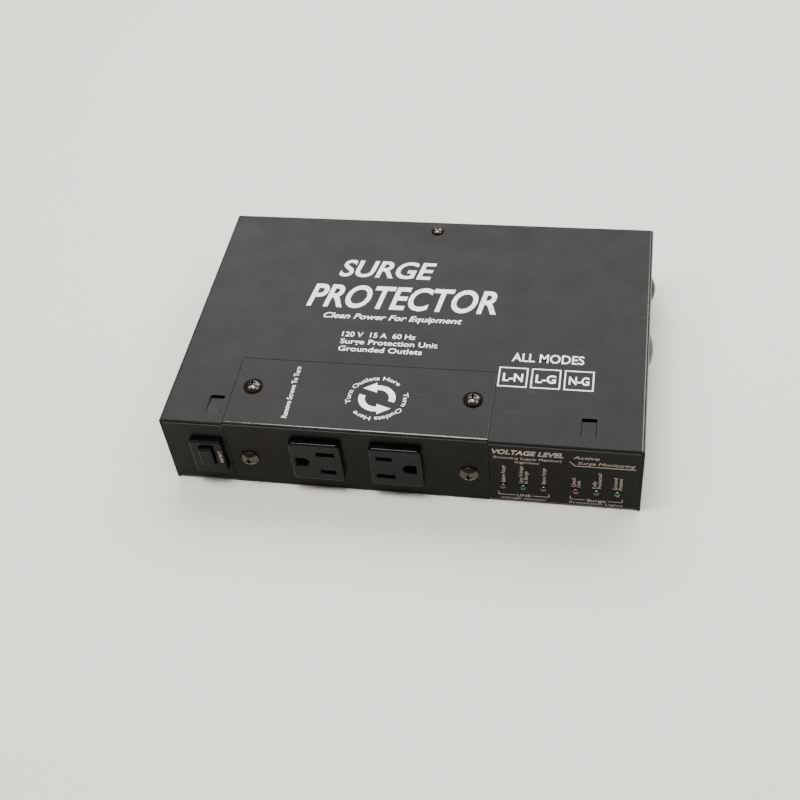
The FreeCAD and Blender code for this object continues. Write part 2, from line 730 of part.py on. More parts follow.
def rounded_loop(lowest, highest, radius):
    # closed outline with four round corners, standing in the XZ plane
    edges = []
    slant = radius * (1 - math.sqrt(0.5))
    corners = [(lowest[0], lowest[1], 1, 1), (highest[0], lowest[1], -1, 1),
               (highest[0], highest[1], -1, -1), (lowest[0], highest[1], 1, -1)]
    arcs = []
    for i, (x, z, inward_x, inward_z) in enumerate(corners):
        ends = [Vector(x, 0, z + inward_z * radius), Vector(x + inward_x * radius, 0, z)]
        first, last = ends if i % 2 == 0 else ends[::-1]
        arcs.append((first, Vector(x + inward_x * slant, 0, z + inward_z * slant), last))
    for arc, following in zip(arcs, arcs[1:] + arcs[:1]):
        edges += [Part.Arc(*arc).toShape(), Part.LineSegment(arc[2], following[0]).toShape()]
    return Part.Wire(edges)


def transformer_core():
    # laminated frame with a window each side of the middle limb
    frame = block((-14.0, 16.0), (-8.0, 17.0), core_rise)
    through = (board_top, core_rise[1] + 1)
    windows = [block((x, x + window_width), (-3.0, 12.0), through) for x in (-9.0, 6.0)]
    return [frame.cut(windows)]


def transformer_coil():
    # fills both windows and wraps the middle limb, which passes through it
    spool = block((-8.7, 10.7), (-2.7, 11.7), (board_top, board_top + coil_height))
    spool = soften(spool, 1.2, along("z"))
    return [spool.cut(block((-4.0, 6.0), (-20, 30), core_rise))]


def control_chips():
    # eight-legged chips with a notch at one end
    half_length, half_width, lead_pitch, half_lead = 4.8, 3.2, 2.54, 0.25
    chips = []
    for x, y in ((80.0, 12.0), (80.0, -4.0)):
        body = block((x - half_length, x + half_length), (y - half_width, y + half_width),
                     (board_top + 0.5, board_top + 3.8))
        body = body.cut(upright(x - half_length, y, (board_top, board_top + 5), 0.9))
        feet = []
        for place in [x + i * lead_pitch for i in (-1.5, -0.5, 0.5, 1.5)]:
            for side in (1, -1):
                feet.append(block((place - half_lead, place + half_lead),
                                  sorted((y + side * half_width, y + side * (half_width + 0.6))),
                                  (board_top, board_top + 2)))
        chips.append(joined(body, *feet))
    return chips


def axial_parts():
    # four diodes and four resistors, each lying on its two bent leads
    def lying(x, y, heading, radius, length, lead):
        middle = board_top + radius + 0.1
        body = rod((0, 0, middle), (1, 0, 0), radius, length)
        leads = rod((-2.4, 0, middle), (1, 0, 0), lead, length + 4.8)
        feet = [upright(foot, 0, (board_top, middle), lead) for foot in (-2.2, length + 2.2)]
        part = joined(body, leads, *feet)
        part.rotate(Vector(), Vector(0, 0, 1), heading)
        part.translate(Vector(x, y, 0))
        return part
    diodes = [lying(27.0, y, 0, 1.3, 5.0, 0.35) for y in (-12.0, -7.0, -2.0, 3.0)]
    return diodes + [lying(x, 8.0, 90, 1.15, 6.0, 0.3) for x in (46.0, 51.0, 56.0, 61.0)]


board_tabs = {"line_in": (-44.0, 2.0), "line_left": (-34.0, -17.0), "line_right": (-5.4, -17.0),
              "neutral_in": (-44.0, 12.0), "neutral_left": (-24.0, -17.0), "neutral_right": (5.0, -17.0)}


def wire_tabs():
    rise = (board_top, board_top + wire_tab_height)
    return [centred(push_on_width, push_on_thick, rise, *place) for place in board_tabs.values()]


# Relay

def relay_space(inset, z_range):
    x, y = relay_corner
    return block((x + inset, x + relay_size[0] - inset), (y + inset, y + relay_size[1] - inset), z_range)


def relay_base():
    return [relay_space(relay_wall + 0.1, (board_top, board_top + relay_base_height))]


def relay_case():
    ceiling = board_top + relay_size[2]
    shell = relay_space(0, (board_top, ceiling))
    shell = soften(shell, 1.0, lambda edge: edge.CenterOfMass.z > board_top + 1)
    return [shell.cut(relay_space(relay_wall, (board_top - 1, ceiling - relay_wall)))]


def relay_middle():
    return relay_corner[0] + 10.0, relay_corner[1] + relay_size[1] / 2


def relay_coil():
    x, y = relay_middle()
    floor = board_top + relay_base_height + 1.2
    return [joined(upright(x, y, (floor, floor + 1), 4.9), upright(x, y, (floor + 1, floor + 13), 4.4),
                   upright(x, y, (floor + 13, floor + 14), 4.9)).cut(upright(x, y, (0, 60), 2.0))]


def relay_yoke():
    # iron core through the coil, on an angle that rises beside it to the armature's edge
    x, y = relay_middle()
    floor = board_top + relay_base_height
    foot = block((x - 5, x + 8.2), (y - 4, y + 4), (floor, floor + 1.2))
    leg = block((x + 6.8, x + 8.2), (y - 4, y + 4), (floor, floor + 15.2))
    return [joined(foot, leg, upright(x, y, (floor + 1.2, floor + 16), 1.95))]


def relay_armature():
    # flat iron flap lying just above the core, with a rolled knuckle over the yoke's leg
    x, y = relay_middle()
    low = board_top + relay_base_height + 16.4
    flap = block((x - 5, x + relay_knuckle), (y - 4, y + 4), (low, low + 1.2))
    blade = block((x + relay_knuckle, x + 14), (y - 2, y + 2), (low, low + 0.5))
    return [joined(flap, blade, rod((x + relay_knuckle, y - 4, low + 0.2), (0, 1, 0), 0.8, 8.0))]


# Inlet

def inlet_body():
    flange = soften(centred(*inlet_flange[:2], (0, inlet_flange[2])), 5.0, along("z"))
    flange = soften(flange, 0.6, lambda edge: edge.CenterOfMass.z > inlet_flange[2] - 0.01)
    body = centred(*inlet_body_size[:2], (-inlet_body_size[2], 0.5))
    cavity = centred(*inlet_cavity[:2], (-inlet_cavity[2], inlet_flange[2] + 1))
    cavity = cavity.makeChamfer(3.6, [edge for edge in cavity.Edges if along("z", lambda c: c.y > 0)(edge)])
    floor_only = centred(40, 40, (-60, -inlet_cavity[2]))
    cutters = [cavity] + [pin.common(floor_only) for pin in inlet_pin_shapes()]
    for x in (-inlet_screw_spread / 2, inlet_screw_spread / 2):
        cutters.append(upright(x, 0, (-5, 5), 1.7))
        cutters.append(Part.makeCone(1.7, 3.3, 1.6, Vector(x, 0, inlet_flange[2] - 1.6)))
    return [facing(joined(flange, body).cut(cutters), "rear", (inlet_x, rear, inlet_z))]


def inlet_pin_shapes():
    pins = []
    for x, y in ((pin_spread, -2.0), (-pin_spread, -2.0), (0, 2.0)):
        blade = soften(centred(2.0, 4.0, (-inlet_body_size[2], -1.0), x, y), 0.6,
                       lambda edge: edge.CenterOfMass.z > -1.01)
        pins.append(joined(blade, centred(0.8, 4.8, (-inlet_tab_end, -inlet_body_size[2]), x, y)))
    return pins


def inlet_pins():
    return [facing(pin, "rear", (inlet_x, rear, inlet_z)) for pin in inlet_pin_shapes()]


def inlet_screw_places():
    return [(inlet_x + side * inlet_screw_spread / 2, rear, inlet_z) for side in (-1, 1)]


def inlet_screws():
    # countersunk, flush with the flange
    head = Part.makeCone(1.45, 3.1, 1.6, Vector(0, 0, inlet_flange[2] - 1.65))
    screw = joined(head, upright(0, 0, (-7, inlet_flange[2] - 1.6), 1.45))
    screw = screw.cut(cross_recess(1.7, 1.1, inlet_flange[2] - 0.05))
    return [facing(screw, "rear", at) for at in inlet_screw_places()]


def inlet_nuts():
    small = nut(5.5, 2.4, 1.5)
    small.translate(Vector(0, 0, -sheet - 2.4))
    return [facing(small, "rear", at) for at in inlet_screw_places()]


# Earth point and wiring

def earth_stud():
    x, y = ground_stud
    return [joined(upright(x, y, (sheet, 13.0), 2.0), upright(x, y, (sheet, sheet + 1), 3.6))]


def earth_nut():
    piece = nut(7.0, 3.2, 2.05)
    piece.translate(Vector(*ground_stud, sheet + 1 + len(lug_headings) * lug_thick))
    return [piece]


def earth_lugs():
    # ring ends stacked on the stud, each with a barrel for its wire
    lugs = []
    for level, heading in enumerate(lug_headings):
        low = sheet + 1 + level * lug_thick
        neck = 6.8
        flat = (low, low + lug_thick)
        ring = joined(upright(0, 0, flat, 4.2), block((0, 8.0), (-2.0, 2.0), flat))
        barrel = rod((neck, 0, low + lug_barrel[1]), (1, 0, 0), lug_barrel[0], lug_reach - neck)
        web = block((neck, 8.0), (-1.6, 1.6), (low, low + lug_barrel[1]))
        lug = joined(ring, web, barrel).cut(upright(0, 0, (0, 20), 2.1))
        lug.rotate(Vector(), Vector(0, 0, 1), heading)
        lug.translate(Vector(*ground_stud, 0))
        lugs.append(lug)
    return lugs


def lug_end(level, extra=0.0):
    angle = math.radians(lug_headings[level])
    reach = lug_reach + extra
    return (ground_stud[0] + reach * math.cos(angle), ground_stud[1] + reach * math.sin(angle),
            sheet + 1 + level * lug_thick + lug_barrel[1])


def outlet_tab(side, kind):
    # end of an outlet's push-on tab: the second outlet is turned half round
    x, turn = outlet_places()[side]
    local_x, local_y = contact_places()[("line", "neutral", "ground").index(kind)]
    sign = 1 if turn == 0 else -1
    return (x + sign * local_x, front + outlet_tab_end, outlet_height + sign * local_y)


def shifted(point, dx=0.0, dy=0.0, dz=0.0):
    return (point[0] + dx, point[1] + dy, point[2] + dz)


def board_tab(name):
    return (*board_tabs[name], board_top + wire_tab_height)


inlet_tab_y = rear - inlet_tab_end
breaker_tab_y = front + breaker_depth + 8


def to_outlet(side, kind, *points):
    # a wire that ends square on one outlet tab
    end = outlet_tab(side, kind)
    return wire(*points, shifted(end, dy=5.5), end)


def to_board(name, *points):
    end = board_tab(name)
    return wire(*points, shifted(end, dz=10), end)


def line_wires():
    supply, load = (breaker_x, breaker_tab_y, breaker_z - 5), (breaker_x, breaker_tab_y, breaker_z + 5)
    inlet = (inlet_x - pin_spread, inlet_tab_y, inlet_z - 2)
    leave_left, leave_right = board_tab("line_left"), board_tab("line_right")
    return [
        wire(inlet, shifted(inlet, dy=-14), (-98, 8, 13), shifted(supply, dy=12), supply),
        to_board("line_in", load, shifted(load, dy=14), (-84, -14, 31), (-60, 0, 33)),
        to_outlet(0, "line", leave_left, shifted(leave_left, dz=10), (-33.9, -30, 23)),
        to_outlet(1, "line", leave_right, shifted(leave_right, dz=15), (-5.4, -29, 33)),
    ]


def neutral_wires():
    inlet = (inlet_x + pin_spread, inlet_tab_y, inlet_z - 2)
    leave_left, leave_right = board_tab("neutral_left"), board_tab("neutral_right")
    return [
        to_board("neutral_in", inlet, shifted(inlet, dy=-14), (-62, 20, 27)),
        to_outlet(0, "neutral", leave_left, shifted(leave_left, dz=17), (-30, -29, 34)),
        to_outlet(1, "neutral", leave_right, shifted(leave_right, dz=9), (0, -30, 22)),
    ]


def earth_wires():
    inlet = (inlet_x, inlet_tab_y, inlet_z + 2)
    to_left, to_right = outlet_tab(0, "ground"), outlet_tab(1, "ground")
    return [
        wire(inlet, shifted(inlet, dy=-14), (-76, 24, 14), lug_end(0, 9), lug_end(0)),
        wire(to_left, shifted(to_left, dy=9), (-58, -30, 14), (-70, -30, 8), lug_end(1, 7), lug_end(1)),
        wire(to_right, shifted(to_right, dy=8), (0, -30, 10), (-24, -31, 4.6), (-46, -28, 4.6),
             lug_end(2, 8), lug_end(2)),
    ]


nodes = {
    "base_chassis": base_chassis(), "top_cover": top_cover(), "cover_screw": cover_screw(),
    "blanking_plugs": blanking_plugs(),
    "outlet_plate": outlet_plate(), "plate_brackets": plate_brackets(), "plate_screws": plate_screws(),
    "press_nuts": press_nuts(),
    **outlet_nodes("left", *outlet_places()[0]), **outlet_nodes("right", *outlet_places()[1]),
    "breaker_housing": breaker_housing(), "breaker_button": breaker_button(), "breaker_arm": breaker_arm(),
    "breaker_terminals": breaker_terminals(), "breaker_bimetal": breaker_bimetal(),
    "reset_spring": reset_spring(),
    **{f"light_{name}": light(x) for name, x in zip(light_names, light_x)},
    "light_leads": light_leads(), "light_board": light_board(),
    "ribbon_cable": ribbon_cable(), "ribbon_headers": ribbon_headers(),
    "main_board": main_board(), "board_standoffs": board_standoffs(), "board_screws": board_screws(),
    "insulating_sheet": insulating_sheet(), "surge_absorbers": surge_absorbers(),
    "thermal_fuses": thermal_fuses(), "line_capacitor": line_capacitor(),
    "filter_capacitors": filter_capacitors(), "choke_core": choke_core(), "choke_windings": choke_windings(),
    "transformer_core": transformer_core(), "transformer_coil": transformer_coil(),
    "control_chips": control_chips(), "axial_parts": axial_parts(), "wire_tabs": wire_tabs(),
    "relay_base": relay_base(), "relay_case": relay_case(), "relay_coil": relay_coil(),
    "relay_yoke": relay_yoke(), "relay_armature": relay_armature(),
    "inlet_body": inlet_body(), "inlet_pins": inlet_pins(), "inlet_screws": inlet_screws(),
    "inlet_nuts": inlet_nuts(),
    "earth_stud": earth_stud(), "earth_nut": earth_nut(), "earth_lugs": earth_lugs(),
    "line_wires": line_wires(), "neutral_wires": neutral_wires(), "earth_wires": earth_wires(),
}

os.makedirs("parts", exist_ok=True)
for name, solids in nodes.items():
    shape = solids[0] if len(solids) == 1 else Part.makeCompound(solids)
    shape.exportStep(f"parts/{name}.step")
print(f"{len(nodes)} nodes, {sum(len(solids) for solids in nodes.values())} solids")
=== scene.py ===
import json
import math

import bmesh
import bpy
from mathutils import Matrix, Vector


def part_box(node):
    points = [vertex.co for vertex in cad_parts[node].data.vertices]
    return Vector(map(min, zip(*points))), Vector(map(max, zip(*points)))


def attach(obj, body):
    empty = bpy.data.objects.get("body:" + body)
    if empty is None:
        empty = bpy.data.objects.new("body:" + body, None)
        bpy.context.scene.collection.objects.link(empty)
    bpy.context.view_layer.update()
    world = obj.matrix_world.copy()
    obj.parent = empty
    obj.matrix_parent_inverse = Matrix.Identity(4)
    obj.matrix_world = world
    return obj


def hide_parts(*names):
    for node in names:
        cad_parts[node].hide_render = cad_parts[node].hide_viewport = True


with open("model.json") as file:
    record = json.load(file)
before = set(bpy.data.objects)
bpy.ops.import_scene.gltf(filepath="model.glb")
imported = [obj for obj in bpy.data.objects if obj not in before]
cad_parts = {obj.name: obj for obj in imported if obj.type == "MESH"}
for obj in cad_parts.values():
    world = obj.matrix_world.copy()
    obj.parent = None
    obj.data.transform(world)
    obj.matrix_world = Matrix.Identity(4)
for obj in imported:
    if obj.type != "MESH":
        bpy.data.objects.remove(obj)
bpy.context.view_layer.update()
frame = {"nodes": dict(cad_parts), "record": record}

mm = 0.001
cadNodes = frame["nodes"]
record = frame["record"]
bodyOf = {node: body for body, members in record["behaviour"]["bodies"].items() for node in members}
slotOf = {row["node"]: row["material_slot"] for row in record["subparts"]}

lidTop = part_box("top_cover")[1].z
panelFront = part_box("outlet_plate")[0].y
print("frame loaded:", len(cadNodes), "nodes")


# materials: shared helpers

def linearColour(hexCode, alpha=1.0):
    # sRGB hex to the linear values that shaders take
    channels = [int(hexCode[i:i + 2], 16) / 255 for i in (1, 3, 5)]
    linear = [c / 12.92 if c <= 0.04045 else ((c + 0.055) / 1.055) ** 2.4 for c in channels]
    return (*linear, alpha)


def addNode(tree, kind, inputs=(), **settings):
    node = tree.nodes.new("ShaderNode" + kind)
    for name, value in settings.items():
        setattr(node, name, value)
    for name, value in dict(inputs).items():
        if isinstance(value, bpy.types.NodeSocket):
            tree.links.new(value, node.inputs[name])
        else:
            node.inputs[name].default_value = value
    return node


def startMaterial(name, colour, roughness, metallic=0.0, **sockets):
    # a material, its tree, its shader and the object coordinates that its patterns read
    material = bpy.data.materials.new(name)
    material.use_nodes = True
    tree = material.node_tree
    shader = tree.nodes["Principled BSDF"]
    shader.inputs["Base Color"].default_value = linearColour(colour)
    shader.inputs["Roughness"].default_value = roughness
    shader.inputs["Metallic"].default_value = metallic
    for socket, value in sockets.items():
        shader.inputs[socket.replace("_", " ")].default_value = value
    place = addNode(tree, "TexCoord").outputs["Object"]
    return material, tree, shader, place


def perMetre(size):
    # noise scale whose features are about this many metres across
    return 1.0 / size


def varyRoughness(tree, shader, place, low, high, size):
    noise = addNode(tree, "TexNoise", {"Vector": place, "Scale": perMetre(size), "Detail": 4.0,
                                       "Roughness": 0.6})
    spread = addNode(tree, "MapRange", {"Value": noise.outputs["Fac"], "From Min": 0.3, "From Max": 0.7,
                                        "To Min": low, "To Max": high})
    tree.links.new(spread.outputs["Result"], shader.inputs["Roughness"])


def varyColour(tree, shader, place, first, second, size, soft=0.2):
    noise = addNode(tree, "TexNoise", {"Vector": place, "Scale": perMetre(size), "Detail": 5.0,
                                       "Roughness": 0.6})
    share = addNode(tree, "MapRange", {"Value": noise.outputs["Fac"], "From Min": 0.5 - soft,
                                       "From Max": 0.5 + soft})
    mix = addNode(tree, "Mix", {"Factor": share.outputs["Result"], 6: linearColour(first),
                                7: linearColour(second)}, data_type="RGBA")
    tree.links.new(mix.outputs[2], shader.inputs["Base Color"])
    return mix


def roughenSurface(tree, shader, height, depth, strength=1.0):
    bump = addNode(tree, "Bump", {"Height": height, "Distance": depth, "Strength": strength})
    tree.links.new(bump.outputs["Normal"], shader.inputs["Normal"])
    return bump


def grainHeight(tree, place, size, detail=2.0):
    noise = addNode(tree, "TexNoise", {"Vector": place, "Scale": perMetre(size), "Detail": detail})
    return noise.outputs["Fac"]


# case finishes

coat = {"colour": "#0b0907", "dusty": "#100d0a", "rubbed": "#4c4843", "roughness": (0.24, 0.32), "sheen": 0.1,
        "grain": 0.7 * mm, "grainDepth": 0.012 * mm, "cloud": 34 * mm}
# streaks are long one way and fine the other, in a few patches only; windows are of the noise's value
scuff = {"perMetre": (60, 420, 60), "turn": (0, 0, 0.35), "streaks": (0.68, 0.76), "strength": 0.5,
         "patch": 60 * mm, "patches": (0.55, 0.68)}


def blackPowderCoat():
    # polyester powder baked on steel: nearly black, a soft satin sheen and a fine orange peel
    material, tree, shader, place = startMaterial("blackPowderCoat", coat["colour"], coat["roughness"][0],
                                                  Specular_IOR_Level=coat["sheen"])
    mix = varyColour(tree, shader, place, coat["colour"], coat["dusty"], coat["cloud"])
    varyRoughness(tree, shader, place, *coat["roughness"], coat["cloud"] * 0.4)
    # scuffs: thin pale streaks where other things were slid over the lid
    streakPlace = addNode(tree, "Mapping", {"Vector": place, "Scale": scuff["perMetre"],
                                            "Rotation": scuff["turn"]})
    streaks = addNode(tree, "TexNoise", {"Vector": streakPlace.outputs["Vector"], "Scale": 1.0,
                                         "Detail": 3.0})
    thinnest, fullest = scuff["streaks"]
    streakMask = addNode(tree, "MapRange", {"Value": streaks.outputs["Fac"], "From Min": thinnest,
                                            "From Max": fullest, "To Max": scuff["strength"]})
    patches = addNode(tree, "TexNoise", {"Vector": place, "Scale": perMetre(scuff["patch"]), "Detail": 2.0})
    sparse, dense = scuff["patches"]
    patchMask = addNode(tree, "MapRange", {"Value": patches.outputs["Fac"], "From Min": sparse,
                                           "From Max": dense})
    scuffs = addNode(tree, "Math", {0: streakMask.outputs["Result"], 1: patchMask.outputs["Result"]},
                     operation="MULTIPLY")
    worn = addNode(tree, "Mix", {"Factor": scuffs.outputs["Value"], 6: mix.outputs[2],
                                 7: linearColour(coat["rubbed"])}, data_type="RGBA")
    tree.links.new(worn.outputs[2], shader.inputs["Base Color"])
    roughenSurface(tree, shader, grainHeight(tree, place, coat["grain"], 3.0), coat["grainDepth"])
    return material


def wornEdgePaintedHighlight():
    # the same coat rubbed thin along sheet edges, so it is smoother; its paler colour is partly wear and
    # partly a painted highlight on edges and folds
    material, tree, shader, place = startMaterial("wornEdgePaintedHighlight", "#12100e", 0.2, Specular_IOR_Level=0.6)
    varyColour(tree, shader, place, "#0d0b09", "#1c1916", 5 * mm, soft=0.1)
    varyRoughness(tree, shader, place, 0.16, 0.26, 4 * mm)
    roughenSurface(tree, shader, grainHeight(tree, place, 0.8 * mm), 0.02 * mm)
    return material


def printedInk(name, thin, thick):
    # screen-printed epoxy ink: flat and very slightly chalky, greyer where less of it was laid
    material, tree, shader, place = startMaterial(name, thick, 0.55)
    varyColour(tree, shader, place, thin, thick, 3 * mm)
    varyRoughness(tree, shader, place, 0.5, 0.62, 6 * mm)
    roughenSurface(tree, shader, grainHeight(tree, place, 0.5 * mm), 0.01 * mm)
    return material


def blackOxideSteel():
    # machine screws, blackened and oiled: dark, with hard bright glints
    material, tree, shader, place = startMaterial("blackOxideSteel", "#46423e", 0.24, 1.0)
    oxide = varyColour(tree, shader, place, "#3d3936", "#5a544e", 1.6 * mm, soft=0.2)
    # painted shade: ambient occlusion darkens the recess to near black, standing in for the shade inside it
    hollow = addNode(tree, "AmbientOcclusion", {"Distance": 1.6 * mm}, only_local=True, samples=8)
    openness = addNode(tree, "MapRange", {"Value": hollow.outputs["AO"], "From Min": 0.5, "From Max": 0.92})
    recessShade = addNode(tree, "Mix", {"Factor": openness.outputs["Result"], 6: linearColour("#080706"),
                                    7: oxide.outputs[2]}, data_type="RGBA")
    tree.links.new(recessShade.outputs[2], shader.inputs["Base Color"])
    varyRoughness(tree, shader, place, 0.18, 0.3, 1.2 * mm)
    roughenSurface(tree, shader, grainHeight(tree, place, 0.35 * mm), 0.012 * mm)
    return material


def mouldedNylon(name, colour, paler, roughness, grain, depth, sheen=0.5):
    # injection-moulded nylon: deep colour, sheen set by the mould's polish
    material, tree, shader, place = startMaterial(name, colour, roughness, Specular_IOR_Level=sheen)
    varyColour(tree, shader, place, colour, paler, 9 * mm)
    varyRoughness(tree, shader, place, roughness * 0.85, roughness * 1.2, 5 * mm)
    roughenSurface(tree, shader, grainHeight(tree, place, grain), depth)
    return material


# each tinted epoxy lens: the colour seen, the colour inside, and how much it glows
lensLooks = {"clear": ("#171310", "#0c0908", 0.0), "red": ("#470c08", "#200403", 0.004),
             "dim_red": ("#240a08", "#120403", 0.0), "green": ("#123822", "#081a0f", 0.006)}


def tintedEpoxy(kind):
    # cast epoxy lens: clear colour with depth, hard gloss, a faint lump at its rim
    colour, deep, glow = lensLooks[kind]
    material, tree, shader, place = startMaterial("tintedEpoxy_" + kind, colour, 0.06,
                                                  Transmission_Weight=0.25, IOR=1.52, Coat_Weight=0.4,
                                                  Emission_Strength=glow)
    shader.inputs["Emission Color"].default_value = linearColour(colour)
    varyColour(tree, shader, place, colour, deep, 3.5 * mm)
    roughenSurface(tree, shader, grainHeight(tree, place, 1.5 * mm), 0.01 * mm)
    return material


# inner finishes: colour, second colour, roughness, metallic, pattern size and bump depth, in mm
innerLooks = {
    "zincPlatedSteel": ("#b9bab4", "#8f918c", 0.34, 1.0, 3.0, 0.01),  # cool grey with a faint spangle
    "rolledBrass": ("#c9a45a", "#a9813f", 0.3, 1.0, 4.0, 0.008),  # warm, with darker handling marks
    "rolledCopper": ("#c07a52", "#8e5236", 0.32, 1.0, 4.0, 0.008),  # pinkish, tarnished brown in patches
    "springWire": ("#9b9c9c", "#77797a", 0.25, 1.0, 2.0, 0.004),  # drawn and bright
    "tinnedCopper": ("#c6c7c4", "#a3a5a4", 0.28, 1.0, 2.0, 0.006),  # soft silver
    "polyesterFilm": ("#d8cfa8", "#c8bd92", 0.3, 0.0, 12.0, 0.01),  # amber, slightly wavy gloss
    "dippedEpoxy": ("#1c4f9c", "#153c7a", 0.42, 0.0, 3.0, 0.12),  # blue, lumpy from dipping
    "mouldedFilmBox": ("#c9a227", "#b8911d", 0.36, 0.0, 8.0, 0.01),  # yellow box, nearly even
    "shrunkSleeve": ("#17171c", "#22222a", 0.22, 0.0, 5.0, 0.02),  # black, tight and shiny
    "coatedIronPowder": ("#2d6b52", "#245744", 0.5, 0.0, 1.5, 0.04),  # green coat over a gritty core
    "lacqueredCopper": ("#9c4a22", "#7c3415", 0.22, 0.6, 3.0, 0.005),  # deep orange under clear lacquer
    "varnishedLaminations": ("#5c5a57", "#474542", 0.4, 1.0, 2.0, 0.02),  # grey steel under amber varnish
    "windingTape": ("#d2b23a", "#c2a02d", 0.38, 0.0, 4.0, 0.03),  # yellow tape with wrapped edges
    "chipEpoxy": ("#1a1a1b", "#232324", 0.6, 0.0, 0.6, 0.02),  # charcoal, fine sandy moulding
    "dippedCoating": ("#a58f6c", "#8f7a58", 0.45, 0.0, 1.5, 0.03),  # tan, uneven
    "relayPlastic": ("#16181d", "#1d2026", 0.32, 0.0, 6.0, 0.01),  # dark blue-black housing
    "nickelledIron": ("#a8a39b", "#8a857d", 0.3, 1.0, 2.0, 0.006),  # warm grey flash plating
    "nickelPlate": ("#cfcbc2", "#b3afa6", 0.16, 1.0, 2.5, 0.004),  # bright, faintly yellow
    "blackVinyl": ("#141414", "#1d1d1d", 0.42, 0.0, 3.0, 0.02),  # wire jacket, dull sheen
    "whiteVinyl": ("#dcdad3", "#cbc8bf", 0.42, 0.0, 3.0, 0.02),
    "greenVinyl": ("#1d7a3c", "#176532", 0.42, 0.0, 3.0, 0.02),
}
lookOfSlot = {
    "zinc_plate": "zincPlatedSteel", "contact_brass": "rolledBrass", "contact_copper": "rolledCopper",
    "spring_steel": "springWire", "tinned_lead": "tinnedCopper", "insulating_film": "polyesterFilm",
    "disc_coating": "dippedEpoxy", "film_capacitor": "mouldedFilmBox", "capacitor_sleeve": "shrunkSleeve",
    "core_coating": "coatedIronPowder", "lacquered_wire": "lacqueredCopper",
    "lamination_steel": "varnishedLaminations", "coil_tape": "windingTape", "chip_epoxy": "chipEpoxy",
    "axial_coating": "dippedCoating", "relay_plastic": "relayPlastic", "soft_iron": "nickelledIron",
    "inlet_pin": "nickelPlate", "wire_black": "blackVinyl", "wire_white": "whiteVinyl",
    "wire_green": "greenVinyl",
}


def innerFinish(name):
    colour, second, roughness, metallic, size, depth = innerLooks[name]
    material, tree, shader, place = startMaterial(name, colour, roughness, metallic)
    varyColour(tree, shader, place, colour, second, size * mm)
    varyRoughness(tree, shader, place, roughness * 0.85, roughness * 1.2, size * mm)
    roughenSurface(tree, shader, grainHeight(tree, place, size * 0.4 * mm), depth * mm)
    return material


def glassFibreBoard():
    # green solder mask: tracks show through as slightly paler raised lanes
    material, tree, shader, place = startMaterial("glassFibreBoard", "#14532a", 0.3)
    lanes = addNode(tree, "TexBrick", {"Vector": place, "Scale": perMetre(14 * mm), "Mortar Size": 0.09,
                                       "Mortar Smooth": 0.2, "Brick Width": 0.9, "Row Height": 0.35})
    for socket, colour in (("Color1", "#1f6b39"), ("Color2", "#1a6034"), ("Mortar", "#124a25")):
        lanes.inputs[socket].default_value = linearColour(colour)
    tree.links.new(lanes.outputs["Color"], shader.inputs["Base Color"])
    varyRoughness(tree, shader, place, 0.24, 0.36, 10 * mm)
    roughenSurface(tree, shader, lanes.outputs["Fac"], 0.04 * mm)
    return material


def ribbedCableJacket():
    # ten vinyl-covered conductors side by side, so it is ridged along its length
    material, tree, shader, place = startMaterial("ribbedCableJacket", "#8d8e8c", 0.4)
    ridges = addNode(tree, "TexWave", {"Vector": place, "Scale": perMetre(1.27 * mm) / 20, "Distortion": 0.0},
                     bands_direction="X")
    # painted shade: the tint follows the ridges, darker in the grooves between conductors
    tint = addNode(tree, "Mix", {"Factor": ridges.outputs["Fac"], 6: linearColour("#767775"),
                                 7: linearColour("#9b9c99")}, data_type="RGBA")
    tree.links.new(tint.outputs[2], shader.inputs["Base Color"])
    roughenSurface(tree, shader, ridges.outputs["Fac"], 0.15 * mm)
    return material


finishes = {
    "powder_coat": blackPowderCoat(), "black_oxide_screw": blackOxideSteel(),
    "outlet_nylon": mouldedNylon("polishedBlackNylon", "#070707", "#0c0b0b", 0.14, 1.6 * mm, 0.006 * mm,
                                 0.16),
    "outlet_base_nylon": mouldedNylon("plainBlackNylon", "#161617", "#1d1d1e", 0.45, 0.6 * mm, 0.02 * mm),
    "breaker_nylon": mouldedNylon("satinBlackNylon", "#080707", "#0d0c0c", 0.22, 0.7 * mm, 0.01 * mm, 0.13),
    "inlet_nylon": mouldedNylon("sparkTexturedNylon", "#111112", "#19191a", 0.4, 0.5 * mm, 0.03 * mm),
    "light_clear": tintedEpoxy("clear"), "light_red": tintedEpoxy("red"), "light_green": tintedEpoxy("green"),
    "circuit_board": glassFibreBoard(), "ribbon_grey": ribbedCableJacket(),
}
finishes.update({slot: innerFinish(look) for slot, look in lookOfSlot.items()})
edgeWearAndHighlight = wornEdgePaintedHighlight()
lidInk = printedInk("lidInk", "#d3d0ca", "#efece6")
shadedPanelInk = printedInk("shadedPanelInk", "#8f857c", "#b0a69d")  # painted shade: a darker copy of the lid's ink, for the front faces that get less light
for name, obj in cadNodes.items():
    obj.data.materials.clear()
    obj.data.materials.append(finishes[slotOf[name]])
cadNodes["light_high"].data.materials[0] = tintedEpoxy("dim_red")
print("materials made:", len(bpy.data.materials))


# shells with eased edges

